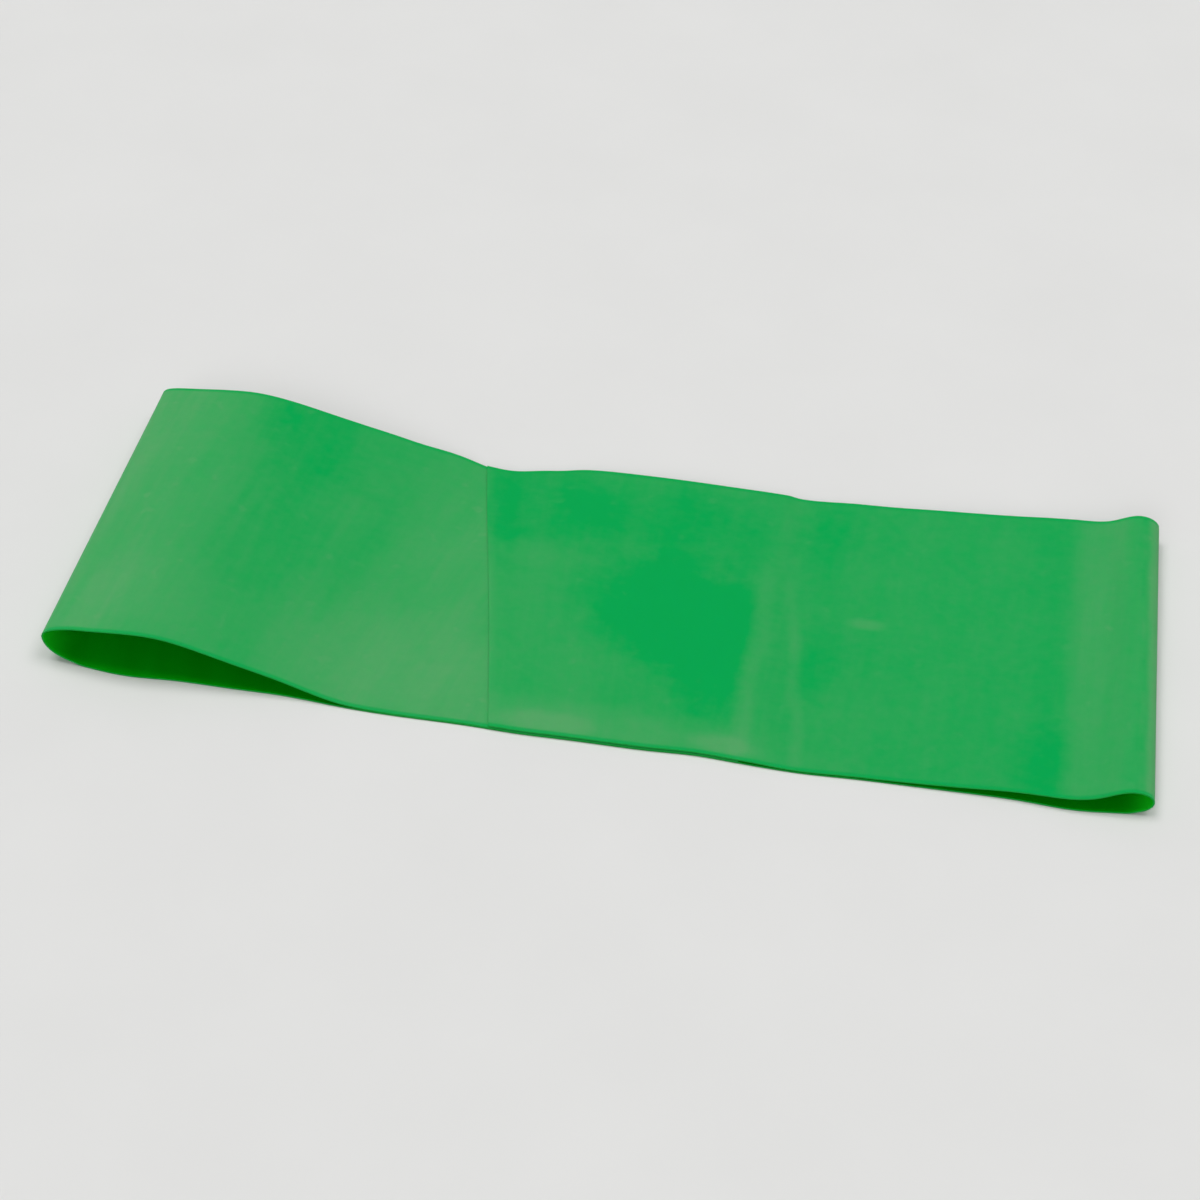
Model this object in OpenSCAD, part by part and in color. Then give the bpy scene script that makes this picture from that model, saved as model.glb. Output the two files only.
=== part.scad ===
// Closed-loop latex resistance band, lying flat on a surface with one end of
// the loop standing slightly open. One strip of film is laid into a loop and its
// two ends are lapped and bonded. The loop lies along X, its width along Y, and
// the lower ply rests on Z = 0.
//
// The strip is drawn as zones that meet end to end, so that the far end can be
// pulled away and the roof over the mouth can be lifted. Going along the strip:
// inner_end, mouth_roof, held_turn, lower_run, far_lower_run, far_turn,
// upper_run, outer_end. The bond film lies between outer_end and inner_end.

/* [Loop] */
// Length of the closed loop lying flat, from turn to turn
loop_len = 203.2; // [169:0.1:460]
// Width of the latex strip
band_w = 76.2; // [40:0.1:150]
// Thickness of the latex film
film_t = 0.3; // [0.2:0.05:0.6]

/* [Open mouth at the held end] */
// Outer radius of the turn's lower half, which lifts off the surface slowly
held_lower_r = 5.8; // [4.4:0.1:8]
// Outer radius of the turn's upper half, which bends more tightly
held_upper_r = 3.3; // [2.6:0.1:5]
// Slope at which the film still rises as it leaves that turn, degrees
rise_angle = 10; // [4:1:14]
// Outer radius of the crest over the mouth
crest_r = 68; // [50:1:85]
// Slope of the ramp that comes down behind the mouth, degrees
ramp_angle = 17; // [14:1:21]
// Radius of the curve that lands the ramp on the lower ply
landing_r = 20; // [8:1:26]

/* [Pulled end] */
// Outer radius of the turn at the pulled end
far_turn_r = 3; // [2.6:0.1:4.2]
// Slope of the film just behind that turn, degrees
neck_angle = 20; // [14:1:26]
// Radius of the hollow curve behind the turn
neck_r = 30; // [20:1:40]
// Radius of the curve that lands the upper ply on the lower ply
far_landing_r = 20; // [8:1:24]
// Flat length of the pulled zone before the upper ply starts to rise
far_flat = 8; // [2:0.5:12]

/* [Bonded lap] */
// Flat length between the ramp's foot and the nearest corner of the outer end
lap_clear = 10.4; // [2:0.1:16]
// How much further back the cut lies at the rear edge than at the front edge
outer_cut_skew = 15; // [0:0.5:20]
// Length of the lap at mid width
lap_len = 53; // [20:0.5:68]
// Thickness of the bond film in the lap
bond_t = 0.1; // [0.05:0.01:0.3]
// Bare margin between the bond film and the cut edges
bond_margin = 2; // [0.5:0.1:6]

/* [Zones] */
// Length over which the outer layer steps down off the inner end
step_len = 6; // [3:0.5:8]
// Flat length between that step and the start of the pulled zone
step_margin = 2; // [0.5:0.5:3]
// Gap between zones that move apart
zone_gap = 0.3; // [0.1:0.05:0.5]

/* [Hidden] */
$fn = 180;
// Largest turn between two points of a shaped ply's curves, degrees
arc_step = 1.5;

LATEX = [0.13, 0.63, 0.31];
LATEX_DEEP = [0.03, 0.55, 0.24];
BOND = [0.55, 0.66, 0.38];

// Unit vector in the XZ plane, at this many degrees from +X towards +Z
function toward(angle) = [cos(angle), sin(angle)];

// Points along a round stretch, from one angle about its centre to another
function arc(centre, r, from_angle, to_angle) =
    let (steps = ceil(abs(to_angle - from_angle) / arc_step))
    [
        for (i = [0:steps])
            centre + r * toward(from_angle + (to_angle - from_angle) * i / steps)
    ];

function reversed(points) = [for (i = [len(points) - 1:-1:0]) points[i]];

// Heights of the layers' undersides above the surface: the second layer lies on
// the lower ply, the third on the bond film
second_z = film_t;
third_z = 2 * film_t + bond_t;

// Held end: the turn's two halves, the crest over the mouth, the ramp and its
// landing curve. Each curve has a centre, and angles about it
held_lower_at = [-loop_len / 2 + held_lower_r, held_lower_r];
held_upper_at = [-loop_len / 2 + held_upper_r, held_lower_r];
crest_from = 90 + rise_angle;
crest_to = 90 - ramp_angle;
crest_at = held_upper_at + (held_upper_r - crest_r) * toward(crest_from);
crest_gap_angle = zone_gap / crest_r * 180 / PI;
ramp_top = crest_at + crest_r * toward(crest_to);
landing_inner_r = landing_r - film_t;
landing_z = second_z + landing_r;
ramp_len = (ramp_top[1] - landing_z + landing_inner_r * cos(ramp_angle)) / sin(ramp_angle);
ramp_run = (ramp_len - zone_gap) * toward(-ramp_angle);
landing_at = ramp_top + ramp_len * toward(-ramp_angle) + landing_inner_r * toward(crest_to);

// Lap: the outer end's slanted cut, the inner end's straight cut, and the plane
// at which the pulled zone starts
cut_rear_x = landing_at[0] + lap_clear;
cut_front_x = cut_rear_x + outer_cut_skew;
inner_cut_x = (cut_rear_x + cut_front_x) / 2 + lap_len;
step_end_x = inner_cut_x + step_len;
pulled_x = step_end_x + step_margin;

// Pulled end: the turn, the hollow neck behind it and the landing curve, with
// the slope between them along the line that touches both curves
far_turn_at = [loop_len / 2 - far_turn_r, far_turn_r];
neck_at = far_turn_at + (far_turn_r + neck_r) * toward(90 + neck_angle);
far_inner_r = far_landing_r - film_t;
far_landing_at = [pulled_x + far_flat, second_z + far_landing_r];
slope_span = neck_at - far_landing_at;
slope_from =
    270 + atan2(slope_span[1], slope_span[0]) - asin((neck_r - far_inner_r) / norm(slope_span));

// A flat ply from one X to another, with its underside at this height
module flat_ply(from_x, to_x, z) {
    translate([from_x, -band_w / 2, z]) cube([to_x - from_x, band_w, film_t]);
}

// A true round turn of the film about an axis along Y
module turned_ply(centre, outer_r, from_angle, to_angle) {
    translate([centre[0], 0, centre[1]])
        rotate([90, 0, 0])
            rotate_extrude(start = from_angle, angle = to_angle - from_angle)
                translate([outer_r - film_t, -band_w / 2]) square([film_t, band_w]);
}

// A ply between two lines of points in the XZ plane, across the whole width
module shaped_ply(upper, under) {
    rotate([90, 0, 0])
        linear_extrude(band_w, center = true) polygon(concat(upper, reversed(under)));
}

// A level layer whose cut edge may slant across the width
module cut_layer(front_x, rear_x, to_x, z, t, margin = 0) {
    half_w = band_w / 2 - margin;
    translate([0, 0, z])
        linear_extrude(t)
            polygon([[front_x, -half_w], [to_x, -half_w], [to_x, half_w], [rear_x, half_w]]);
}

module lower_run() {
    color(LATEX_DEEP) flat_ply(held_lower_at[0], pulled_x - zone_gap, 0);
}

module held_turn() {
    color(LATEX) {
        turned_ply(held_lower_at, held_lower_r, 180, 270);
        turned_ply(held_upper_at, held_upper_r, crest_from, 180);
    }
}

module inner_end() {
    color(LATEX_DEEP)
        shaped_ply(
            concat(
                arc(landing_at, landing_inner_r, 270 - ramp_angle, 270),
                [[inner_cut_x, second_z + film_t]]
            ),
            concat(
                arc(landing_at, landing_r, 270 - ramp_angle, 270),
                [[inner_cut_x, second_z]]
            )
        );
}

module bond_film() {
    color(BOND)
        cut_layer(
            cut_front_x + bond_margin, cut_rear_x + bond_margin,
            inner_cut_x - bond_margin, second_z + film_t, bond_t, bond_margin
        );
}

module outer_end() {
    color(LATEX) {
        cut_layer(cut_front_x, cut_rear_x, inner_cut_x, third_z, film_t);
        shaped_ply(
            [
                [inner_cut_x, third_z + film_t], [step_end_x, second_z + film_t],
                [pulled_x - zone_gap, second_z + film_t]
            ],
            [[inner_cut_x, third_z], [step_end_x, second_z], [pulled_x - zone_gap, second_z]]
        );
    }
}

module mouth_roof() {
    from_angle = crest_from - crest_gap_angle;
    under_r = crest_r - film_t;
    color(LATEX)
        shaped_ply(
            concat(arc(crest_at, crest_r, from_angle, crest_to), [ramp_top + ramp_run]),
            concat(
                arc(crest_at, under_r, from_angle, crest_to),
                [crest_at + under_r * toward(crest_to) + ramp_run]
            )
        );
}

module far_lower_run() {
    color(LATEX_DEEP) flat_ply(pulled_x, far_turn_at[0], 0);
}

module far_turn() {
    color(LATEX) turned_ply(far_turn_at, far_turn_r, -90, 90 + neck_angle);
}

module upper_run() {
    color(LATEX)
        shaped_ply(
            concat(
                [[pulled_x, second_z + film_t]],
                arc(far_landing_at, far_inner_r, 270, slope_from),
                arc(neck_at, neck_r, slope_from, 270 + neck_angle)
            ),
            concat(
                [[pulled_x, second_z]],
                arc(far_landing_at, far_landing_r, 270, slope_from),
                arc(neck_at, neck_r + film_t, slope_from, 270 + neck_angle)
            )
        );
}

lower_run();
held_turn();
inner_end();
bond_film();
outer_end();
mouth_roof();
far_lower_run();
far_turn();
upper_run();
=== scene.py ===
"""A closed-loop latex resistance band, lying flat with one end of the loop slightly open.

The frame gives every size and place. The film is built here as two closed sheets that
meet, edge to edge, under the band: one goes through the open mouth, the other through
the far turn. All lengths are in metres.
"""

import logging
import math
from collections.abc import Callable, Sequence
from dataclasses import dataclass, field
from enum import Enum

import bpy
import numpy as np
from mathutils import Matrix, Vector, noise


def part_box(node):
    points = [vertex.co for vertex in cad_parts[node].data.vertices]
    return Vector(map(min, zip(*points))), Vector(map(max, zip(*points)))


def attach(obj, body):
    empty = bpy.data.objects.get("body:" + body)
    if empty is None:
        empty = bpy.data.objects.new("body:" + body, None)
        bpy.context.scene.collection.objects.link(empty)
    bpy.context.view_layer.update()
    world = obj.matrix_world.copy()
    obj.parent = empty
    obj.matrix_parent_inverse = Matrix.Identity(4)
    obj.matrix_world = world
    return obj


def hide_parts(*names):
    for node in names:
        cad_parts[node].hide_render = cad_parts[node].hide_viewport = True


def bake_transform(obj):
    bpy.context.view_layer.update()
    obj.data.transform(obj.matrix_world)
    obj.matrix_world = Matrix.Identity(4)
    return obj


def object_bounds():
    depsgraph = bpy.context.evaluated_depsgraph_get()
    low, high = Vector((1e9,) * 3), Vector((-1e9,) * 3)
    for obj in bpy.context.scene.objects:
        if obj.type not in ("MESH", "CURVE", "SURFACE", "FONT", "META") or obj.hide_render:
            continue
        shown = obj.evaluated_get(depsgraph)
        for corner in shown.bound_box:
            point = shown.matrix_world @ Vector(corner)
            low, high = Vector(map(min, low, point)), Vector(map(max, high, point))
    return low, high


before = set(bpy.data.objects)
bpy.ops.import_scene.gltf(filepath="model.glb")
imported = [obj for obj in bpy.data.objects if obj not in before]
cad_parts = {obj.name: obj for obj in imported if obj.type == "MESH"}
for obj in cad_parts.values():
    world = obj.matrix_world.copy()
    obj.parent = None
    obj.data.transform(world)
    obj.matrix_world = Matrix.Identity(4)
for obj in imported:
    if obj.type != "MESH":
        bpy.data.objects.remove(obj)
CAD_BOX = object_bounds()

LOG = logging.getLogger("band")
MM = 0.001
STRIP_MAP = "strip"
CURVE_POINTS = 240
SHARP_ANGLE = math.radians(50)


class Body(Enum):
    """The bodies of the frame."""

    HELD = "held_side"
    ROOF = "lifted_roof"
    PULLED = "pulled_end"


class Slot(Enum):
    """The material slots of the record."""

    FILM = "latex_film"
    CEMENT = "rubber_cement"


class Face(Enum):
    """Which finish each face of the film has, as the mesh's material number."""

    OUTER = 0
    RIM = 1
    INNER = 2


# ---------------------------------------------------------------- sizes


def corner_points(node: str) -> np.ndarray:
    """The vertices of a CAD node, one row each.

    Args:
        node: The node's name.

    Returns:
        An array of points in the row frame.
    """
    return np.array([v.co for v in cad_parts[node].data.vertices], float)


@dataclass(frozen=True)
class LoopSizes:
    """The sizes and places of the loop, all read from the frame."""

    half_length: float
    half_width: float
    film: float
    bond: float
    far_turn: float
    crest: tuple[float, float]
    ramp_foot: float
    far_foot: float
    inner_cut: float
    step_end: float
    cut_front: float
    cut_rear: float

    @classmethod
    def from_frame(cls) -> "LoopSizes":
        """Reads the sizes from the boxes and vertices of the CAD nodes.

        Returns:
            The sizes, in metres.
        """
        low, high = CAD_BOX
        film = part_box("lower_run")[1].z
        bond_low, bond_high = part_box("bond_film")
        roof = corner_points("mouth_roof")
        inner, upper, outer = (corner_points(n) for n in ("inner_end", "upper_run", "outer_end"))
        flat = film * 1.01
        return cls(
            half_length=(high.x - low.x) / 2,
            half_width=(high.y - low.y) / 2,
            film=film,
            bond=bond_high.z - bond_low.z,
            far_turn=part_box("far_turn")[1].z / 2,
            crest=(float(roof[roof[:, 2].argmax(), 0]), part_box("mouth_roof")[1].z),
            ramp_foot=float(inner[inner[:, 2] < flat, 0].min()),
            far_foot=float(upper[upper[:, 2] < flat, 0].max()),
            inner_cut=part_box("inner_end")[1].x,
            step_end=float(outer[outer[:, 2] < flat, 0].min()),
            cut_front=float(outer[outer[:, 1] < 0, 0].min()),
            cut_rear=float(outer[outer[:, 1] > 0, 0].min()),
        )

    @property
    def lower_mid(self) -> float:
        """Height of the middle of the lower ply."""
        return self.film / 2

    @property
    def upper_mid(self) -> float:
        """Height of the middle of the layer that lies on the lower ply."""
        return self.film * 1.5

    @property
    def flat_top(self) -> float:
        """Height below which the film counts as lying flat."""
        return self.film * 3

    @property
    def lap_rise(self) -> float:
        """How much higher the outer layer lies over the inner end."""
        return self.film + self.bond

    @property
    def cut_mid(self) -> float:
        """Where the outer end's cut crosses the middle of the width."""
        return (self.cut_front + self.cut_rear) / 2


# ---------------------------------------------------------------- the film's shape


@dataclass(frozen=True)
class Knot:
    """A point on the film's middle line, with its heading and how far its curves reach."""

    x: float
    z: float
    heading: float
    reach_in: float = 0.0
    reach_out: float = 0.0

    def handle(self, reach: float) -> np.ndarray:
        """The point this far ahead along the heading, or behind it if reach is negative."""
        angle = math.radians(self.heading)
        return np.array([self.x + reach * math.cos(angle), self.z + reach * math.sin(angle)])


def curve_through(knots: Sequence[Knot]) -> list[np.ndarray]:
    """The film's line as one run of finely spaced points between each pair of knots.

    Args:
        knots: The points that the line passes through, in order.

    Returns:
        One array of points for each pair of knots.
    """
    t = np.linspace(0, 1, CURVE_POINTS)[:, None]
    runs = []
    for a, b in zip(knots, knots[1:]):
        p, q = a.handle(0), b.handle(0)
        c, d = a.handle(a.reach_out), b.handle(-b.reach_in)
        runs.append(
            (1 - t) ** 3 * p + 3 * (1 - t) ** 2 * t * c + 3 * (1 - t) * t**2 * d + t**3 * q
        )
    return runs


def distance_along(points: np.ndarray) -> np.ndarray:
    """How far along a line each of its points lies."""
    return np.concatenate([[0], np.cumsum(np.linalg.norm(np.diff(points, axis=0), axis=1))])


class LoftLines:
    """The film's lines at the front and the rear edge, as matching stations."""

    def __init__(self, front: Sequence[Knot], rear: Sequence[Knot], spacing: float) -> None:
        """Joins each edge's knots with curves and spaces the stations along them.

        Args:
            front: The points that the front edge passes through, in order.
            rear: The matching points of the rear edge.
            spacing: About how far apart the stations lie.
        """
        self.front, self.rear = [], []
        for near, far in zip(curve_through(front), curve_through(rear)):
            lengths = [distance_along(run)[-1] for run in (near, far)]
            steps = max(2, round(sum(lengths) / 2 / spacing))
            share = np.linspace(0, 1, steps + 1)[(1 if len(self.front) else 0) :]
            for run, stations in ((near, self.front), (far, self.rear)):
                along = distance_along(run)
                places = [np.interp(share * along[-1], along, run[:, k]) for k in (0, 1)]
                stations.extend(np.stack(places, axis=1))
        self.front, self.rear = np.array(self.front), np.array(self.rear)
        self.middle = (self.front + self.rear) / 2
        self.along = distance_along(self.middle)
        self.length = float(self.along[-1])

    def along_at(self, x: float) -> float:
        """How far along the middle line the upper ply passes this X.

        Args:
            x: A place along the loop.

        Returns:
            The distance along the middle line, in metres.
        """
        returning = np.gradient(self.middle[:, 0]) < 0
        gap = np.where(returning, np.abs(self.middle[:, 0] - x), np.inf)
        return float(self.along[gap.argmin()])


def smooth(value: np.ndarray | float, low: float, high: float) -> np.ndarray:
    """Rises smoothly from 0 at low to 1 at high, or falls if low is above high."""
    t = np.clip((np.asarray(value, float) - low) / (high - low), 0, 1)
    return t * t * (3 - 2 * t)


def hump(x: np.ndarray, y: np.ndarray, at: tuple[float, float], size: tuple[float, float]) -> np.ndarray:
    """A round hump of height 1 at a place, falling off over its two sizes."""
    return np.exp(-(((x - at[0]) / size[0]) ** 2) - ((y - at[1]) / size[1]) ** 2)


@dataclass(frozen=True)
class Wave:
    """A smooth rise, or a dip where its height is below zero, at one place along the loop."""

    at: float
    reach: float
    height: float


def waves_at(x: np.ndarray, waves: Sequence[Wave]) -> np.ndarray:
    """The heights of several waves together."""
    return sum(wave.height * np.exp(-(((x - wave.at) / wave.reach) ** 2)) for wave in waves)


def wander(x: np.ndarray, y: np.ndarray, size: tuple[float, float], seed: float) -> np.ndarray:
    """Smooth noise from -1 to 1 over a grid of places.

    Args:
        x: Places along the loop.
        y: Places across the width.
        size: Length of the noise's waves along and across.
        seed: Picks one pattern.

    Returns:
        The noise at each place.
    """
    flat = [
        noise.noise(Vector((a / size[0], b / size[1], seed)))
        for a, b in zip(x.ravel(), y.ravel())
    ]
    return np.array(flat).reshape(x.shape)


@dataclass(frozen=True)
class Ripple:
    """Soft unevenness: how high it is, its waves' lengths along and across, and its pattern."""

    height: float
    size: tuple[float, float]
    seed: float

    def at(self, x: np.ndarray, y: np.ndarray) -> np.ndarray:
        """Its pattern from -1 to 1 over a grid of places."""
        return wander(x, y, self.size, self.seed)


def new_piece(
    name: str, points: np.ndarray, faces: list[list[int]], places: np.ndarray
) -> bpy.types.Object:
    """Makes a smooth mesh with its strip map, and links it into the scene.

    Args:
        name: The piece's name.
        points: Its vertices, one row each.
        faces: The vertices round each face.
        places: Where each vertex lies on the strip map.

    Returns:
        The piece, still without a material.
    """
    mesh = bpy.data.meshes.new(name)
    mesh.from_pydata(points.tolist(), [], faces)
    mesh.update()
    layer = mesh.uv_layers.new(name=STRIP_MAP)
    corners = np.zeros(len(mesh.loops), np.int32)
    mesh.loops.foreach_get("vertex_index", corners)
    layer.uv.foreach_set("vector", places[corners].astype(np.float32).ravel())
    mesh.polygons.foreach_set("use_smooth", np.ones(len(faces), bool))
    mesh.set_sharp_from_angle(angle=SHARP_ANGLE)
    piece = bpy.data.objects.new(name, mesh)
    bpy.context.scene.collection.objects.link(piece)
    return piece


@dataclass
class FilmSheet:
    """One closed sheet of film, swept across the width of the band."""

    name: str
    line: LoftLines
    film: float
    half_width: float
    map_start: float
    map_length: float
    shape: Callable[[np.ndarray, np.ndarray, np.ndarray], tuple[np.ndarray, np.ndarray, np.ndarray]]
    across: int = 60
    lip_share: float = 0.3

    def middle(self) -> np.ndarray:
        """The sheet's middle surface: stations by places across, with three coordinates.

        Returns:
            An array of places, bent into shape.
        """
        share = np.linspace(0, 1, self.across + 1)
        front, rear = self.line.front[:, None, :], self.line.rear[:, None, :]
        lofted = front + (rear - front) * share[None, :, None]
        y = np.broadcast_to((2 * share - 1) * self.half_width, lofted.shape[:2])
        return np.stack(self.shape(lofted[..., 0], y, lofted[..., 1]), axis=2)

    def faces_out(self, middle: np.ndarray) -> np.ndarray:
        """Unit vectors that point out of the loop, one at each point of the middle surface.

        Args:
            middle: The sheet's middle surface.

        Returns:
            An array of unit vectors, as large as the surface.
        """
        ahead = np.gradient(middle, axis=0)
        aside = np.gradient(middle, axis=1)
        out = np.cross(aside, ahead)
        return out / np.linalg.norm(out, axis=2, keepdims=True)

    def build(self) -> bpy.types.Object:
        """Makes the closed mesh with a rounded lip along both edges, and its strip map.

        Returns:
            The sheet, linked into the scene and still without a material.
        """
        middle = self.middle()
        out = self.faces_out(middle)
        rows, columns = middle.shape[:2]
        lip = np.array([0, self.film * self.lip_share, 0])
        outer, inner = middle + out * self.film / 2, middle - out * self.film / 2
        front, rear = middle[:, 0] - lip, middle[:, -1] + lip
        # Each station is a closed ring: outer face front to rear, rear lip, inner face, front lip
        ring = np.concatenate(
            [outer, rear[:, None], inner[:, ::-1], front[:, None]], axis=1
        )
        around = ring.shape[1]
        index = np.arange(rows * around).reshape(rows, around)
        a, b = index[:-1], index[1:]
        quads = np.stack([a, np.roll(a, -1, 1), np.roll(b, -1, 1), b], axis=2).reshape(-1, 4)
        share = np.concatenate(
            [np.linspace(0, 1, columns), [1], np.linspace(1, 0, columns), [0]]
        )
        u = (self.map_start + self.line.along) / self.map_length
        places = np.stack(np.broadcast_arrays(u[:, None], share[None, :]), axis=2).reshape(-1, 2)
        caps = []
        for row, flip in ((index[0], False), (index[-1], True)):
            top, under = row[:columns], row[columns + 1 : 2 * columns + 1][::-1]
            cap = np.stack([top[:-1], under[:-1], under[1:], top[1:]], axis=1)
            ends = np.array([[top[-1], under[-1], row[columns]], [under[0], top[0], row[-1]]])
            caps.append((cap[:, ::-1] if flip else cap, ends[:, ::-1] if flip else ends))
        faces = quads.tolist()
        rim_from = len(faces)
        for cap, ends in caps:
            faces += cap.tolist() + ends.tolist()
        side = np.tile(np.arange(around), rows - 1)
        on_lip = (side == columns - 1) | (side == columns) | (side >= around - 2)
        inside = (side > columns) & (side < around - 2)
        look = np.full(len(faces), Face.RIM.value, np.int32)
        look[:rim_from] = np.where(on_lip, Face.RIM.value, inside * Face.INNER.value)
        sheet = new_piece(self.name, ring.reshape(-1, 3), faces, places)
        sheet.data.polygons.foreach_set("material_index", look)
        return sheet


# ---------------------------------------------------------------- shader helpers


class NodeSheet:
    """A node tree with short calls to add and join nodes."""

    def __init__(self, tree: bpy.types.NodeTree) -> None:
        """Keeps the tree that the calls add to."""
        self.tree = tree

    def add(self, kind: str, **settings: object) -> bpy.types.Node:
        """Adds a node and sets its own properties.

        Args:
            kind: The node's type.
            settings: Values for the node's own properties.

        Returns:
            The node.
        """
        node = self.tree.nodes.new(kind)
        for name, value in settings.items():
            setattr(node, name, value)
        return node

    def join(self, source: bpy.types.NodeSocket, target: bpy.types.NodeSocket) -> None:
        """Links an output to an input."""
        self.tree.links.new(source, target)

    def feed(self, target: bpy.types.NodeSocket, value: object) -> None:
        """Links a socket to an input, or sets the input to a plain value.

        Args:
            target: The input.
            value: An output to link, or a plain value.
        """
        if isinstance(value, bpy.types.NodeSocket):
            self.join(value, target)
        else:
            target.default_value = value

    def math(self, operation: str, *values: object) -> bpy.types.NodeSocket:
        """A Math node on one to three values.

        Args:
            operation: The node's operation.
            values: Outputs or plain values.

        Returns:
            The result.
        """
        node = self.add("ShaderNodeMath", operation=operation)
        for target, value in zip(node.inputs, values):
            self.feed(target, value)
        return node.outputs[0]

    def vector_math(self, operation: str, *values: object) -> bpy.types.Node:
        """A Vector Math node on one or two vectors.

        Args:
            operation: The node's operation.
            values: Outputs or plain vectors.

        Returns:
            The node, because a length and a vector leave it by different outputs.
        """
        node = self.add("ShaderNodeVectorMath", operation=operation)
        for target, value in zip(node.inputs, values):
            self.feed(target, value)
        return node

    def noise(self, place: object, scale: object, detail: float = 2.0) -> bpy.types.NodeSocket:
        """A noise texture's value at a place, in cycles per metre.

        Args:
            place: Where the noise is read.
            scale: How many waves there are to the metre.
            detail: How many finer layers are added.

        Returns:
            The noise's value, from 0 to 1.
        """
        node = self.add("ShaderNodeTexNoise", noise_dimensions="3D")
        self.feed(node.inputs["Vector"], place)
        self.feed(node.inputs["Scale"], scale)
        node.inputs["Detail"].default_value = detail
        return node.outputs["Fac"]

    def mottled(self, place: object, mottle: "Mottle") -> bpy.types.NodeSocket:
        """An even swing about 0, before the mottle's strength is used.

        Args:
            place: Where the noise is read.
            mottle: How close together its waves are, and how detailed.

        Returns:
            The swing, from -0.5 to 0.5.
        """
        return self.math("SUBTRACT", self.noise(place, mottle.scale, mottle.detail), 0.5)

    def fade(self, value: object, low: object, high: object) -> bpy.types.NodeSocket:
        """Rises smoothly from 0 at low to 1 at high.

        Args:
            value: What is compared.
            low: Where the result is 0.
            high: Where the result is 1, which may be below low.

        Returns:
            The result.
        """
        node = self.add("ShaderNodeMapRange", interpolation_type="SMOOTHSTEP", clamp=True)
        self.feed(node.inputs["Value"], value)
        self.feed(node.inputs["From Min"], low)
        self.feed(node.inputs["From Max"], high)
        return node.outputs["Result"]

    def split(self, place: bpy.types.NodeSocket) -> tuple[bpy.types.NodeSocket, ...]:
        """Takes a place apart.

        Args:
            place: The place.

        Returns:
            Its three coordinates.
        """
        node = self.add("ShaderNodeSeparateXYZ")
        self.join(place, node.inputs[0])
        return tuple(node.outputs)

    def mix(self, share: object, low: object, high: object) -> bpy.types.NodeSocket:
        """Mixes two colours.

        Args:
            share: How much of the second colour there is, from 0 to 1.
            low: The first colour.
            high: The second colour.

        Returns:
            The mixed colour.
        """
        node = self.add("ShaderNodeMix", data_type="RGBA")
        inputs = {socket.identifier: socket for socket in node.inputs}
        self.feed(inputs["Factor_Float"], share)
        self.feed(inputs["A_Color"], low)
        self.feed(inputs["B_Color"], high)
        return next(socket for socket in node.outputs if socket.identifier == "Result_Color")

    def bump(self, height: object, strength: float, depth: float) -> bpy.types.NodeSocket:
        """The normal of a surface with this relief.

        Args:
            height: The relief, from 0 to about 1.
            strength: How strongly it shows.
            depth: How deep it is, in metres.

        Returns:
            The bumped normal.
        """
        node = self.add("ShaderNodeBump")
        self.feed(node.inputs["Height"], height)
        node.inputs["Strength"].default_value = strength
        node.inputs["Distance"].default_value = depth
        return node.outputs["Normal"]

    def group(self, tree: bpy.types.NodeTree, **values: object) -> bpy.types.NodeSocket:
        """Places a node group with these input values and gives its first output.

        Args:
            tree: The group.
            values: Values for the group's inputs, by name.

        Returns:
            The group's first output.
        """
        node = self.add("ShaderNodeGroup", node_tree=tree)
        for name, value in values.items():
            self.feed(node.inputs[name], value)
        return node.outputs[0]


def new_group(
    name: str, inputs: dict[str, tuple[str, object]], output: str
) -> tuple[bpy.types.NodeTree, NodeSheet, dict[str, bpy.types.NodeSocket], bpy.types.NodeSocket]:
    """Starts a shader node group.

    Args:
        name: The group's name.
        inputs: Each input's name, its socket type and its default.
        output: The name of its one output, a value.

    Returns:
        The group's tree, its sheet, its inputs by name and the socket to feed.
    """
    tree = bpy.data.node_groups.new(name, "ShaderNodeTree")
    for socket_name, (kind, default) in inputs.items():
        socket = tree.interface.new_socket(socket_name, in_out="INPUT", socket_type=kind)
        socket.default_value = default
    tree.interface.new_socket(output, in_out="OUTPUT", socket_type="NodeSocketFloat")
    sheet = NodeSheet(tree)
    given = sheet.add("NodeGroupInput").outputs
    end = sheet.add("NodeGroupOutput").inputs[0]
    return tree, sheet, {n: given[n] for n in inputs}, end


VECTOR, FLOAT = "NodeSocketVector", "NodeSocketFloat"


@dataclass(frozen=True)
class Mottle:
    """Unevenness of a surface: how many waves to the metre, and how strong it is.

    Its waves may be slanted, and finer layers of waves add their detail.
    """

    scale: float
    strength: float = 1.0
    slant: float = 0.0
    detail: float = 5.0


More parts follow.
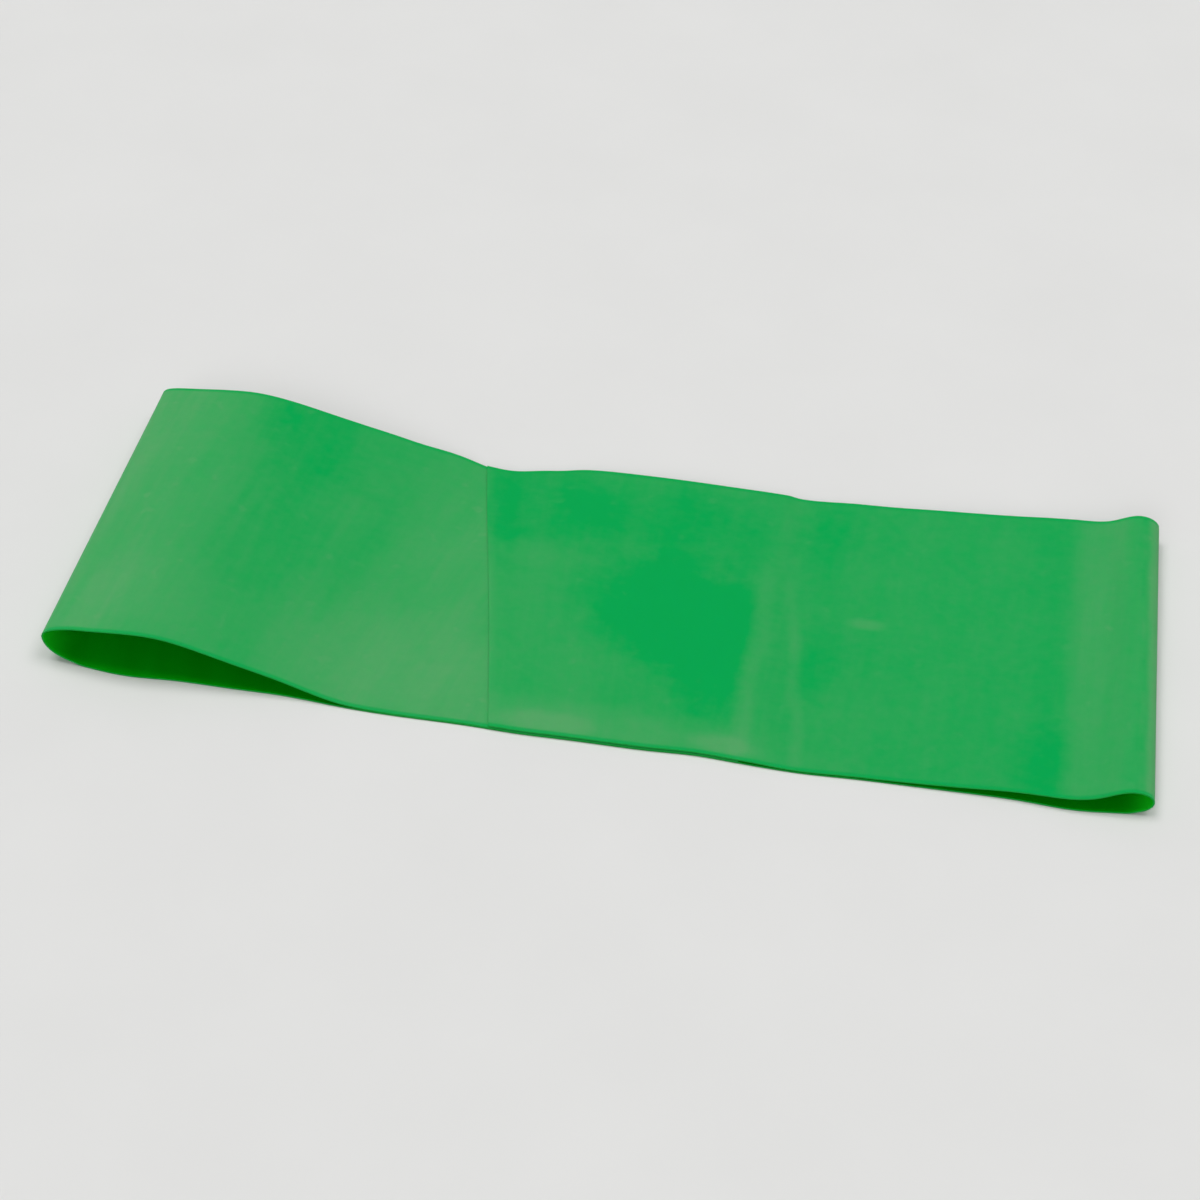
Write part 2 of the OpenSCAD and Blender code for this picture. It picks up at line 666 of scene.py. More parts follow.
@dataclass
class SurfaceEffects:
    """The node groups that the band's materials share, and the sizes inside them.

    A patch's edge is torn, a line wavers by a small width, a streak is much longer across
    the band than along it, and the grain gathers in broader clouds.
    """

    tear: Mottle = Mottle(130.0, 4.0)
    waver: Mottle = Mottle(90.0, 3 * MM, detail=3.0)
    streak_narrowing: float = 0.1
    streak_detail: float = 3.0
    grain_detail: float = 3.0
    cloud: Mottle = Mottle(140.0, detail=4.0)
    patch: bpy.types.NodeTree = field(init=False)
    line: bpy.types.NodeTree = field(init=False)
    streaks: bpy.types.NodeTree = field(init=False)
    grain: bpy.types.NodeTree = field(init=False)

    def __post_init__(self) -> None:
        """Builds each group once."""
        self.patch = self.make_patch()
        self.line = self.make_line()
        self.streaks = self.make_streaks()
        self.grain = self.make_grain()

    def make_patch(self) -> bpy.types.NodeTree:
        """A soft patch with a ragged edge, round a place on the strip.

        Returns:
            The group, whose one output is a mask.
        """
        tree, sheet, given, end = new_group(
            "soft_patch",
            {
                "Place": (VECTOR, (0, 0, 0)),
                "Centre": (VECTOR, (0, 0, 0)),
                "Size": (VECTOR, (0.01, 0.01, 1)),
                "Ragged": (FLOAT, 0.3),
                "Softness": (FLOAT, 0.5),
            },
            "Mask",
        )
        away = sheet.vector_math("SUBTRACT", given["Place"], given["Centre"]).outputs[0]
        scaled = sheet.vector_math("DIVIDE", away, given["Size"]).outputs[0]
        reach = sheet.vector_math("LENGTH", scaled).outputs["Value"]
        rough = sheet.mottled(given["Place"], self.tear)
        tear = sheet.math("MULTIPLY", given["Ragged"], self.tear.strength)
        torn = sheet.math("MULTIPLY_ADD", rough, tear, reach)
        edge = sheet.math("SUBTRACT", 1.0, given["Softness"])
        mask = sheet.fade(torn, sheet.math("ADD", 1.0, given["Softness"]), edge)
        sheet.join(mask, end)
        return tree

    def make_line(self) -> bpy.types.NodeTree:
        """A soft line that runs across the width, from a place at the front to one at the rear.

        Returns:
            The group, whose one output is a mask.
        """
        tree, sheet, given, end = new_group(
            "cross_line",
            {
                "Place": (VECTOR, (0, 0, 0)),
                "Front": (FLOAT, 0.0),
                "Rear": (FLOAT, 0.0),
                "Half width": (FLOAT, 0.038),
                "Thickness": (FLOAT, 0.002),
                "Faint from": (FLOAT, 1.0),
                "Gone at": (FLOAT, 1.1),
            },
            "Mask",
        )
        along, across, _ = sheet.split(given["Place"])
        share = sheet.math("DIVIDE", across, given["Half width"])
        share = sheet.math("MULTIPLY_ADD", share, 0.5, 0.5)
        run = sheet.math("SUBTRACT", given["Rear"], given["Front"])
        at = sheet.math("MULTIPLY_ADD", share, run, given["Front"])
        waver = sheet.mottled(given["Place"], self.waver)
        at = sheet.math("MULTIPLY_ADD", waver, self.waver.strength, at)
        gap = sheet.math("ABSOLUTE", sheet.math("SUBTRACT", along, at))
        near = sheet.fade(gap, given["Thickness"], 0.0)
        kept = sheet.fade(across, given["Gone at"], given["Faint from"])
        sheet.join(sheet.math("MULTIPLY", near, kept), end)
        return tree

    def make_streaks(self) -> bpy.types.NodeTree:
        """Faint streaks that run across the width, left from the film's making.

        Returns:
            The group, whose one output is a mask.
        """
        tree, sheet, given, end = new_group(
            "cross_streaks",
            {"Place": (VECTOR, (0, 0, 0)), "Scale": (FLOAT, 300.0), "Slant": (FLOAT, 0.12)},
            "Mask",
        )
        along, across, _ = sheet.split(given["Place"])
        place = sheet.add("ShaderNodeCombineXYZ")
        sheet.join(sheet.math("MULTIPLY_ADD", across, given["Slant"], along), place.inputs["X"])
        sheet.join(sheet.math("MULTIPLY", across, self.streak_narrowing), place.inputs["Y"])
        sheet.join(sheet.noise(place.outputs[0], given["Scale"], self.streak_detail), end)
        return tree

    def make_grain(self) -> bpy.types.NodeTree:
        """The fine grain of the latex, with a dusting of powder.

        Returns:
            The group, whose one output is a mask.
        """
        tree, sheet, given, end = new_group(
            "film_grain",
            {"Place": (VECTOR, (0, 0, 0)), "Scale": (FLOAT, 1800.0), "Cloud": (FLOAT, 0.35)},
            "Mask",
        )
        fine = sheet.noise(given["Place"], given["Scale"], self.grain_detail)
        cloud = sheet.noise(given["Place"], self.cloud.scale, self.cloud.detail)
        mixed = sheet.math("MULTIPLY", cloud, given["Cloud"])
        sheet.join(sheet.math("ADD", fine, mixed), end)
        return tree


@dataclass(frozen=True)
class Patch:
    """A patch of haze on the film, or of deeper colour where its strength is below zero."""

    x: float
    y: float
    long: float
    wide: float
    strength: float
    ragged: float = 0.3
    softness: float = 0.5


@dataclass(frozen=True)
class PaintedBendLine:
    """A painted line across the film: a painted highlight where it bends over an edge beneath it, or
    darker where its strength is below zero.
    """

    front_x: float
    rear_x: float
    thickness: float
    strength: float
    faint_from: float = 1.0
    gone_at: float = 1.1


@dataclass(frozen=True)
class Grain:
    """Fine grain: how many waves to the metre, and how much a broader cloud adds to it."""

    scale: float
    cloud: float


@dataclass(frozen=True)
class LatexFinish:
    """Satin translucent green latex: deep where plies cling, milky where powder or air lies, the milky
    level also carrying a painted sheen.
    """

    deep: tuple[float, float, float, float] = (0.0002, 0.37, 0.077, 1)
    milky: tuple[float, float, float, float] = (0.086, 0.372, 0.128, 1)
    roughness_low: float = 0.4
    roughness_high: float = 0.6
    subsurface: float = 0.3
    subsurface_radius: tuple[float, float, float] = (0.1, 1.0, 0.3)
    subsurface_scale: float = 0.8 * MM
    specular: float = 0.06
    grain: Grain = Grain(1500.0, 0.5)
    ribs: Mottle = Mottle(420.0, 2.0, slant=0.04)
    bump: float = 0.12
    bump_depth: float = 0.03 * MM


@dataclass(frozen=True)
class CutEdgeFinish:
    """The cut edges of the film, which have no powder, in a deep green darkened as painted shade where
    the edges turn away from the light.
    """

    # Painted shade: darker than the faces, as the edges turn away from the light.
    base: tuple[float, float, float, float] = (0.002, 0.25, 0.028, 1)
    bright: tuple[float, float, float, float] = (0.005, 0.31, 0.045, 1)
    bright_range: tuple[float, float] = (0.45, 1.0)
    grain: Grain = Grain(900.0, 0.8)
    roughness: float = 0.55
    specular: float = 0.1


@dataclass(frozen=True)
class InnerFaceFinish:
    """The film's inner face, with a faint sheen: its deep green with no blue is painted shade, and it
    has a painted glow near the turns' tips.
    """

    # Painted shade: the inside of the loop is coloured as if lit only by light filtered through the
    # green film.
    base: tuple[float, float, float, float] = (0.0002, 0.34, 0.001, 1)
    worn: tuple[float, float, float, float] = (0.0005, 0.39, 0.004, 1)
    # Painted glow: lighter near the turns' tips, as if light shone through the film there.
    lit: tuple[float, float, float, float] = (0.012, 0.82, 0.02, 1)
    worn_range: tuple[float, float] = (0.4, 0.8)
    streaks: Mottle = Mottle(150.0, slant=0.2)
    turn_reach: float = 9 * MM
    turn_fall: float = 1.5
    roughness: float = 0.5
    specular: float = 0.03
    grain: Grain = Grain(1500.0, 0.5)
    bump: float = 0.12
    bump_depth: float = 0.03 * MM


@dataclass(frozen=True)
class CementFinish:
    """Dry rubber cement, clear and slightly yellow over the green."""

    thin: tuple[float, float, float, float] = (0.22, 0.36, 0.1, 1)
    thick: tuple[float, float, float, float] = (0.42, 0.5, 0.2, 1)
    thick_range: tuple[float, float] = (0.35, 0.7)
    brushing: Mottle = Mottle(240.0, slant=0.6)
    roughness: float = 0.38
    grain: Grain = Grain(700.0, 0.6)
    bump: float = 0.2
    bump_depth: float = 0.05 * MM


@dataclass(frozen=True)
class FloorFinish:
    """The pale matt floor, very slightly uneven in tone."""

    dull: tuple[float, float, float, float] = (0.72, 0.72, 0.71, 1)
    pale: tuple[float, float, float, float] = (0.76, 0.76, 0.75, 1)
    mottle: Mottle = Mottle(30.0, detail=4.0)
    roughness: float = 0.85
    specular: float = 0.2


@dataclass(frozen=True)
class HazeTexture:
    """The fine structure of the film's haze, and the powder-free strip along its edges."""

    streaks: tuple[Mottle, ...] = (Mottle(135.0, 1.3, 0.1), Mottle(560.0, 0.55, 0.05))
    clouds: tuple[Mottle, ...] = (Mottle(75.0, 0.26), Mottle(420.0, 0.3))
    flecks: Mottle = Mottle(260.0, 0.4, detail=1.0)
    fleck_range: tuple[float, float] = (0.64, 0.78)
    bare_strip: tuple[float, float] = (0.4 * MM, 1.1 * MM)
    left_on_strip: float = 0.15


@dataclass
class Finishes:
    """Builds the materials of the band and of the room."""

    sizes: LoopSizes
    mouth: LoftLines
    far: LoftLines
    texture: HazeTexture = HazeTexture()
    effects: SurfaceEffects = field(default_factory=SurfaceEffects)

    @property
    def strip_length(self) -> float:
        """Length of the whole strip, from its inner to its outer end."""
        return self.mouth.length + self.far.length

    def on_strip(self, x: float) -> float:
        """How far along the strip a place on the visible upper ply lies.

        Args:
            x: A place along the loop.

        Returns:
            The distance from the inner end, in metres.
        """
        if x < self.sizes.cut_mid:
            return self.mouth.along_at(x)
        return self.mouth.length + self.far.along_at(x)

    def new_material(self, name: str) -> tuple[bpy.types.Material, NodeSheet, bpy.types.Node]:
        """A material with one Principled shader, its sheet and that shader.

        Args:
            name: The material's name.

        Returns:
            The material, its sheet and its shader.
        """
        material = bpy.data.materials.new(name)
        material.use_nodes = True
        sheet = NodeSheet(material.node_tree)
        shader = next(n for n in sheet.tree.nodes if n.type == "BSDF_PRINCIPLED")
        return material, sheet, shader

    def strip_place(self, sheet: NodeSheet) -> bpy.types.NodeSocket:
        """The place on the strip in metres: along it from the inner end, and across from its middle.

        Args:
            sheet: The material's node sheet.

        Returns:
            The place, in metres.
        """
        mapped = sheet.add("ShaderNodeUVMap", uv_map=STRIP_MAP)
        size = (self.strip_length, 2 * self.sizes.half_width, 0)
        moved = sheet.vector_math("SUBTRACT", mapped.outputs[0], (0, 0.5, 0)).outputs[0]
        return sheet.vector_math("MULTIPLY", moved, size).outputs[0]

    def grain_at(
        self, sheet: NodeSheet, place: bpy.types.NodeSocket, grain: Grain
    ) -> bpy.types.NodeSocket:
        """The fine grain at a place on the strip.

        Args:
            sheet: The material's node sheet.
            place: The place on the strip, in metres.
            grain: How fine and how cloudy it is.

        Returns:
            The grain's level.
        """
        return sheet.group(self.effects.grain, Place=place, Scale=grain.scale, Cloud=grain.cloud)

    def streaks_at(
        self, sheet: NodeSheet, place: bpy.types.NodeSocket, streaks: Mottle
    ) -> bpy.types.NodeSocket:
        """The streaks at a place on the strip, before their strength is used.

        Args:
            sheet: The material's node sheet.
            place: The place on the strip, in metres.
            streaks: How close together and how slanted they are.

        Returns:
            The streaks' level.
        """
        return sheet.group(
            self.effects.streaks, Place=place, Scale=streaks.scale, Slant=streaks.slant
        )

    def haze_along(self, sheet: NodeSheet, place: bpy.types.NodeSocket) -> bpy.types.NodeSocket:
        """The film's haze along the strip, from 0 where it is deep green to 1 where it is milky, rising
        to a painted highlight at both turns' tips.

        Args:
            sheet: The material's node sheet.
            place: The place on the strip, in metres.

        Returns:
            The level of the haze.
        """
        s = self.sizes
        levels = {
            # Painted highlight along the held turn's tip, fading into the milky film over the mouth.
            -s.half_length + 1 * MM: 0.86,
            -s.half_length + 8 * MM: 0.72,
            -s.half_length + 18 * MM: 0.5,
            -s.half_length + 32 * MM: 0.33,
            s.ramp_foot - 10 * MM: 0.38,
            s.ramp_foot + 4 * MM: 0.48,
            s.cut_mid - 1 * MM: 0.57,
            s.cut_mid + 0.4 * MM: 0.48,
            s.cut_mid + 2.6 * MM: 0.26,
            s.inner_cut - 8 * MM: 0.22,
            s.step_end + 4 * MM: 0.22,
            s.far_foot + 20 * MM: 0.2,
            s.half_length - 24 * MM: 0.2,
            s.half_length - 19 * MM: 0.12,
            s.half_length - 14 * MM: 0.44,
            s.half_length - 7 * MM: 0.5,
            s.half_length - 4 * MM: 0.3,
            # Painted highlight along the far turn's tip.
            s.half_length - 1 * MM: 1.0,
        }
        stops = {self.on_strip(x) / self.strip_length: level for x, level in levels.items()}
        ramp = sheet.add("ShaderNodeValToRGB")
        ramp.color_ramp.interpolation = "EASE"
        marks = ramp.color_ramp.elements
        for n, (at, level) in enumerate(sorted(stops.items())):
            mark = marks[n] if n < 2 else marks.new(at)
            mark.position = at
            mark.color = (level, level, level, 1)
        along, _, _ = sheet.split(place)
        sheet.join(sheet.math("DIVIDE", along, self.strip_length), ramp.inputs[0])
        return ramp.outputs["Color"]

    def patches(self) -> list[Patch]:
        """Where the plies cling, where powder or trapped air makes the film milky, and painted
        highlights along the lap's front edge.

        Returns:
            The patches, placed on the visible upper ply.
        """
        s = self.sizes
        front = -s.half_width
        return [
            Patch(10 * MM, -1 * MM, 17 * MM, 14 * MM, -0.32, 0.16, 0.4),
            Patch(19 * MM, -13 * MM, 9 * MM, 16 * MM, -0.22, 0.16, 0.5),
            Patch(16 * MM, 22 * MM, 12 * MM, 11 * MM, -0.12, 0.2, 0.6),
            Patch(-17 * MM, 25 * MM, 16 * MM, 15 * MM, -0.2, 0.14, 0.5),
            Patch(2 * MM, 27 * MM, 16 * MM, 8 * MM, -0.1, 0.2, 0.7),
            Patch(-15 * MM, -10 * MM, 14 * MM, 18 * MM, 0.06, 0.2, 0.8),
            Patch(37 * MM, 25 * MM, 5 * MM, 9 * MM, -0.14, 0.4, 0.6),
            Patch(39 * MM, -9 * MM, 4 * MM, 9 * MM, -0.16, 0.5, 0.6),
            Patch(-16 * MM, 12 * MM, 6 * MM, 4 * MM, 0.16, 0.5, 0.6),
            Patch(47.5 * MM, 3 * MM, 3 * MM, 1.3 * MM, 0.4, 0.12, 0.6),
            # Painted highlight: glare along the lap's front edge, where the edge curls towards the
            # light.
            Patch(-4 * MM, front + 3 * MM, 34 * MM, 5 * MM, 0.34, 0.25, 0.7),
            Patch(-13 * MM, front + 3 * MM, 9 * MM, 2.6 * MM, 0.4, 0.2, 0.5),
            Patch(24 * MM, front + 3 * MM, 7 * MM, 2.2 * MM, 0.4, 0.2, 0.5),
            Patch(-38 * MM, front + 10 * MM, 20 * MM, 15 * MM, 0.34, 0.25, 0.8),
            Patch(-84 * MM, front + 12 * MM, 14 * MM, 9 * MM, 0.14, 0.3, 0.7),
            Patch(-62 * MM, -front - 5 * MM, 13 * MM, 13 * MM, -0.2, 0.2, 0.9),
            Patch(-76 * MM, -front - 4 * MM, 4 * MM, 8 * MM, -0.14, 0.3, 0.8),
            Patch(-66 * MM, 4 * MM, 9 * MM, 24 * MM, -0.16, 0.2, 0.9),
            Patch(-52 * MM, -6 * MM, 5 * MM, 22 * MM, -0.1, 0.2, 0.9),
            Patch(s.half_length - 20 * MM, front + 8 * MM, 6 * MM, 12 * MM, -0.12, 0.3, 0.7),
        ]

    def painted_bend_lines(self) -> list[PaintedBendLine]:
        """Painted highlights where the outer layer bends over the hidden inner end, and a darker line at
        the far turn.

        Returns:
            The lines, from the lap to the far turn.
        """
        s = self.sizes
        return [
            # Painted highlights where the outer layer bends over the inner end's edge.
            PaintedBendLine(s.inner_cut - 1 * MM, s.inner_cut - 1 * MM, 3.4 * MM, 0.27, -2 * MM, 24 * MM),
            PaintedBendLine(s.step_end + 4 * MM, s.inner_cut + 1 * MM, 2.0 * MM, 0.2, -4 * MM, 20 * MM),
            # A darker line across the far turn, just inside the painted highlight at its tip.
            PaintedBendLine(s.half_length - 2.6 * MM, s.half_length - 2.6 * MM, 1.2 * MM, -0.25),
        ]

    def haze(self, sheet: NodeSheet, place: bpy.types.NodeSocket) -> bpy.types.NodeSocket:
        """All of the film's haze together, with its painted highlights and painted lines.

        Args:
            sheet: The material's node sheet.
            place: The place on the strip, in metres.

        Returns:
            The level of the haze, from 0 to 1.
        """
        effects, texture = self.effects, self.texture
        level = self.haze_along(sheet, place)
        for mottle in texture.streaks:
            streak = self.streaks_at(sheet, place, mottle)
            swing = sheet.math("MULTIPLY", sheet.math("SUBTRACT", streak, 0.5), mottle.strength)
            level = sheet.math("MULTIPLY_ADD", swing, level, level)
        for mottle in texture.clouds:
            cloud = sheet.mottled(place, mottle)
            level = sheet.math("MULTIPLY_ADD", cloud, mottle.strength, level)
        flecks = sheet.noise(place, texture.flecks.scale, texture.flecks.detail)
        flecks = sheet.fade(flecks, *texture.fleck_range)
        flecks = sheet.math("MULTIPLY", flecks, texture.flecks.strength)
        level = sheet.math("MULTIPLY_ADD", flecks, level, level)
        for p in self.patches():
            mask = sheet.group(
                effects.patch,
                Place=place,
                Centre=(self.on_strip(p.x), p.y, 0),
                Size=(p.long, p.wide, 1),
                Ragged=p.ragged,
                Softness=p.softness,
            )
            level = sheet.math("MULTIPLY_ADD", mask, p.strength, level)
        for c in self.painted_bend_lines():
            mask = sheet.group(
                effects.line,
                Place=place,
                Front=self.on_strip(c.front_x),
                Rear=self.on_strip(c.rear_x),
                Thickness=c.thickness,
                **{
                    "Half width": self.sizes.half_width,
                    "Faint from": c.faint_from,
                    "Gone at": c.gone_at,
                },
            )
            level = sheet.math("MULTIPLY_ADD", mask, c.strength, level)
        level = sheet.math("MAXIMUM", sheet.math("MINIMUM", level, 1.0), 0.0)
        _, across, _ = sheet.split(place)
        near, far = (self.sizes.half_width - reach for reach in texture.bare_strip)
        powdered = sheet.fade(sheet.math("ABSOLUTE", across), near, far)
        left = texture.left_on_strip
        return sheet.math("MULTIPLY", level, sheet.math("MULTIPLY_ADD", powdered, 1 - left, left))

    def latex(self, finish: LatexFinish) -> bpy.types.Material:
        """The faces of the film.

        Args:
            finish: The colours and the gloss.

        Returns:
            The finished material.
        """
        material, sheet, shader = self.new_material("latex_film")
        place = self.strip_place(sheet)
        haze = self.haze(sheet, place)
        sheet.join(sheet.mix(haze, finish.deep, finish.milky), shader.inputs["Base Color"])
        rough = sheet.add("ShaderNodeMapRange")
        sheet.join(haze, rough.inputs["Value"])
        rough.inputs["To Min"].default_value = finish.roughness_low
        rough.inputs["To Max"].default_value = finish.roughness_high
        sheet.join(rough.outputs["Result"], shader.inputs["Roughness"])
        grain = self.grain_at(sheet, place, finish.grain)
        ribs = self.streaks_at(sheet, place, finish.ribs)
        relief = sheet.math("MULTIPLY_ADD", ribs, finish.ribs.strength, grain)
        normal = sheet.bump(relief, finish.bump, finish.bump_depth)
        sheet.join(normal, shader.inputs["Normal"])
        shader.inputs["Subsurface Weight"].default_value = finish.subsurface
        shader.inputs["Subsurface Radius"].default_value = finish.subsurface_radius
        shader.inputs["Subsurface Scale"].default_value = finish.subsurface_scale
        shader.inputs["Specular IOR Level"].default_value = finish.specular
        return material

    def cut_edge(self, finish: CutEdgeFinish) -> bpy.types.Material:
        """The cut edges of the film, coloured with painted shade.

        Args:
            finish: The colours and the gloss.

        Returns:
            The finished material.
        """
        material, sheet, shader = self.new_material("latex_cut_edge")
        place = self.strip_place(sheet)
        bright = sheet.fade(self.grain_at(sheet, place, finish.grain), *finish.bright_range)
        sheet.join(sheet.mix(bright, finish.base, finish.bright), shader.inputs["Base Color"])
        shader.inputs["Roughness"].default_value = finish.roughness
        shader.inputs["Specular IOR Level"].default_value = finish.specular
        return material

    def inner_face(self, finish: InnerFaceFinish) -> bpy.types.Material:
        """The film's inner faces, coloured with painted shade and a painted glow near the turns' tips.

        Args:
            finish: The colours and the gloss.

        Returns:
            The finished material.
        """
        material, sheet, shader = self.new_material("latex_inner_face")
        place = self.strip_place(sheet)
        worn = sheet.fade(self.streaks_at(sheet, place, finish.streaks), *finish.worn_range)
        colour = sheet.mix(worn, finish.base, finish.worn)
        along, _, _ = sheet.split(place)
        # Painted glow near both turns' tips, standing in for light that shines through the film.
        tips = [
            sheet.math("ABSOLUTE", sheet.math("SUBTRACT", along, self.on_strip(x)))
            for x in (-self.sizes.half_length, self.sizes.half_length)
        ]
        near = sheet.fade(sheet.math("MINIMUM", *tips), finish.turn_reach, 0.0)
        lit = sheet.math("POWER", near, finish.turn_fall)
        sheet.join(sheet.mix(lit, colour, finish.lit), shader.inputs["Base Color"])
        grain = self.grain_at(sheet, place, finish.grain)
        normal = sheet.bump(grain, finish.bump, finish.bump_depth)
        sheet.join(normal, shader.inputs["Normal"])
        shader.inputs["Roughness"].default_value = finish.roughness
        shader.inputs["Specular IOR Level"].default_value = finish.specular
        return material

    def cement(self, finish: CementFinish) -> bpy.types.Material:
        """The rubber cement in the lap.

        Args:
            finish: The colours and the gloss.

        Returns:
            The finished material.
        """
        material, sheet, shader = self.new_material("rubber_cement")
        place = self.strip_place(sheet)
        thick = sheet.fade(self.streaks_at(sheet, place, finish.brushing), *finish.thick_range)
        sheet.join(sheet.mix(thick, finish.thin, finish.thick), shader.inputs["Base Color"])
        grain = self.grain_at(sheet, place, finish.grain)
        normal = sheet.bump(grain, finish.bump, finish.bump_depth)
        sheet.join(normal, shader.inputs["Normal"])
        shader.inputs["Roughness"].default_value = finish.roughness
        return material

    def floor(self, finish: FloorFinish) -> bpy.types.Material:
        """The floor.

        Args:
            finish: The colours and the gloss.

        Returns:
            The finished material.
        """
        material, sheet, shader = self.new_material("pale_floor")
        place = sheet.add("ShaderNodeTexCoord").outputs["Object"]
        mottle = sheet.noise(place, finish.mottle.scale, finish.mottle.detail)
        sheet.join(sheet.mix(mottle, finish.dull, finish.pale), shader.inputs["Base Color"])
        shader.inputs["Roughness"].default_value = finish.roughness
        shader.inputs["Specular IOR Level"].default_value = finish.specular
        return material


# ---------------------------------------------------------------- the band


@dataclass(frozen=True)
class MouthEdge:
    """How the film runs over the open mouth at one edge of the band."""

    tip_in: float
    tip_height: float
    brow: tuple[float, float]
    brow_slope: float
    crest: tuple[float, float]
    shoulder: tuple[float, float]
    ramp_slope: float
    foot: float
    foot_reach: float = 7.5 * MM
    shoulder_reach: tuple[float, float] = (14 * MM, 4 * MM)
    crest_reach: tuple[float, float] = (4.5 * MM, 3.4 * MM)
    brow_reach: tuple[float, float] = (3.4 * MM, 4.2 * MM)
    tip_reach: tuple[float, float] = (1.9 * MM, 3.5 * MM)
    floor_reach: float = 5 * MM


@dataclass(frozen=True)
class FarEdge:
    """How the film runs round the far turn at one edge of the band."""

    turn_height: float
    neck_drop: float
    shoulder_drop: float
    tip_in: float
    tip_share: float = 0.56
    turn_run: float = 3.9 * MM
    neck_run: float = 9.6 * MM
    shoulder_run: float = 17 * MM
    neck_slope: float = 17
    shoulder_slope: float = 4.5
    floor_reach: float = 3 * MM
    tip_reach: tuple[float, float] = (1.7 * MM, 1.5 * MM)
    turn_reach: tuple[float, float] = (1.9 * MM, 1.9 * MM)
    neck_reach: tuple[float, float] = (1.9 * MM, 2.4 * MM)
    shoulder_reach: tuple[float, float] = (2.4 * MM, 13 * MM)
    foot_reach: float = 13 * MM


@dataclass
class Band:
    """The strip of film, in two sheets, and the bond between its lapped ends.

    The two mouth edges are given by their distances from the held end, and the two far
    edges by their distances from the far end, as the film's own middle line runs. Waves
    bend the long edges in and out, swells lift the rear edge, and ripples are the film's
    soft unevenness.
    """

    sizes: LoopSizes
    spacing: float = 0.8 * MM
    bow: float = 1.8 * MM
    split_back: float = 4 * MM
    lift_from: float = 4
    roof_depth: float = 1.5 * MM
    tip_depth: float = 12 * MM
    mouth_floor_in: float = 9.4 * MM
    far_floor_in: float = 5.6 * MM
    mouth_front: MouthEdge = MouthEdge(
        tip_in=0.4 * MM,
        tip_height=5.6 * MM,
        brow=(9.4 * MM, 9.3 * MM),
        brow_slope=11,
        crest=(18 * MM, 10.5 * MM),
        shoulder=(31.6 * MM, 7.65 * MM),
        ramp_slope=15.6,
        foot=60.4 * MM,
    )
    mouth_rear: MouthEdge = MouthEdge(
        tip_in=1.1 * MM,
        tip_height=5.5 * MM,
        brow=(9.1 * MM, 8.14 * MM),
        brow_slope=8.5,
        crest=(20.6 * MM, 9.35 * MM),
        shoulder=(34.1 * MM, 7.25 * MM),
        ramp_slope=14.3,
        foot=72 * MM,
    )
    far_front: FarEdge = FarEdge(5.15 * MM, 1.7 * MM, 2.75 * MM, 0)
    far_rear: FarEdge = FarEdge(5.95 * MM, 2.1 * MM, 2.8 * MM, 0.25 * MM)
    rear_step: float = 1.2 * MM
    rear_step_at: tuple[float, float] = (-30 * MM, -5 * MM)
    rear_in: float = 0.4 * MM
    rear_waves: tuple[Wave, ...] = (
        Wave(-46 * MM, 5 * MM, -0.3 * MM),
        Wave(-28 * MM, 8.6 * MM, -2.7 * MM),
        Wave(-17.5 * MM, 3.5 * MM, -0.5 * MM),
        Wave(6 * MM, 17 * MM, -0.75 * MM),
        Wave(34 * MM, 6 * MM, -0.55 * MM),
        Wave(56 * MM, 18 * MM, -0.45 * MM),
    )
    front_waves: tuple[Wave, ...] = (
        Wave(-86 * MM, 8 * MM, 1.0 * MM),
        Wave(-56 * MM, 8 * MM, -0.4 * MM),
        Wave(-38 * MM, 12 * MM, 0.4 * MM),
        Wave(-12 * MM, 7 * MM, 0.3 * MM),
        Wave(20 * MM, 7 * MM, -0.5 * MM),
        Wave(39 * MM, 8 * MM, 0.4 * MM),
        Wave(88 * MM, 8 * MM, 0.95 * MM),
    )
    rear_swells: tuple[Wave, ...] = (
        Wave(6 * MM, 17 * MM, 1.0 * MM),
        Wave(56 * MM, 18 * MM, 0.9 * MM),
    )
    wave_share: float = 0.3
    swell_share: float = 0.2
    slack: Ripple = Ripple(0.03 * MM, (17 * MM, 24 * MM), 3.1)
    frill: Ripple = Ripple(0.1 * MM, (11 * MM, 60 * MM), 8.7)
    frill_width: float = 7 * MM
    frill_fade: tuple[float, float] = (12 * MM, 8 * MM)
    mouth_ripple: Ripple = Ripple(0.14 * MM, (13 * MM, 45 * MM), 1.7)
    far_ripple: Ripple = Ripple(0.08 * MM, (9 * MM, 40 * MM), 5.3)
    far_crown: float = 1.6
    corner_lift: float = 0.08 * MM
    corner_in: float = 2 * MM
    corner_size: tuple[float, float] = (4 * MM, 6 * MM)
    cut_droop: float = 2 * MM
    droop_share: float = 0.9
    lap_fade: float = 4 * MM
    step_run: tuple[float, float] = (1.7, 0.5)
    bond_share: float = 0.9
    ragged_power: int = 6
    bond_grid: tuple[int, int] = (48, 56)
    bond_ragged: Ripple = Ripple(0.8 * MM, (6 * MM, 6 * MM), 2.2)
    bond_brushing: Ripple = Ripple(0.1, (4 * MM, 7 * MM), 6.1)
    mouth_line: LoftLines = field(init=False)
    far_line: LoftLines = field(init=False)

    def __post_init__(self) -> None:
        """Draws the lines of both sheets."""
        self.mouth_line = LoftLines(
            self.mouth_knots(self.mouth_front), self.mouth_knots(self.mouth_rear), self.spacing
        )
        self.far_line = LoftLines(
            self.far_knots(self.far_front), self.far_knots(self.far_rear), self.spacing
        )

    @property
    def split_x(self) -> float:
        """Where the two sheets meet, on the lower ply behind the ramp's foot."""
        return self.sizes.ramp_foot + self.split_back

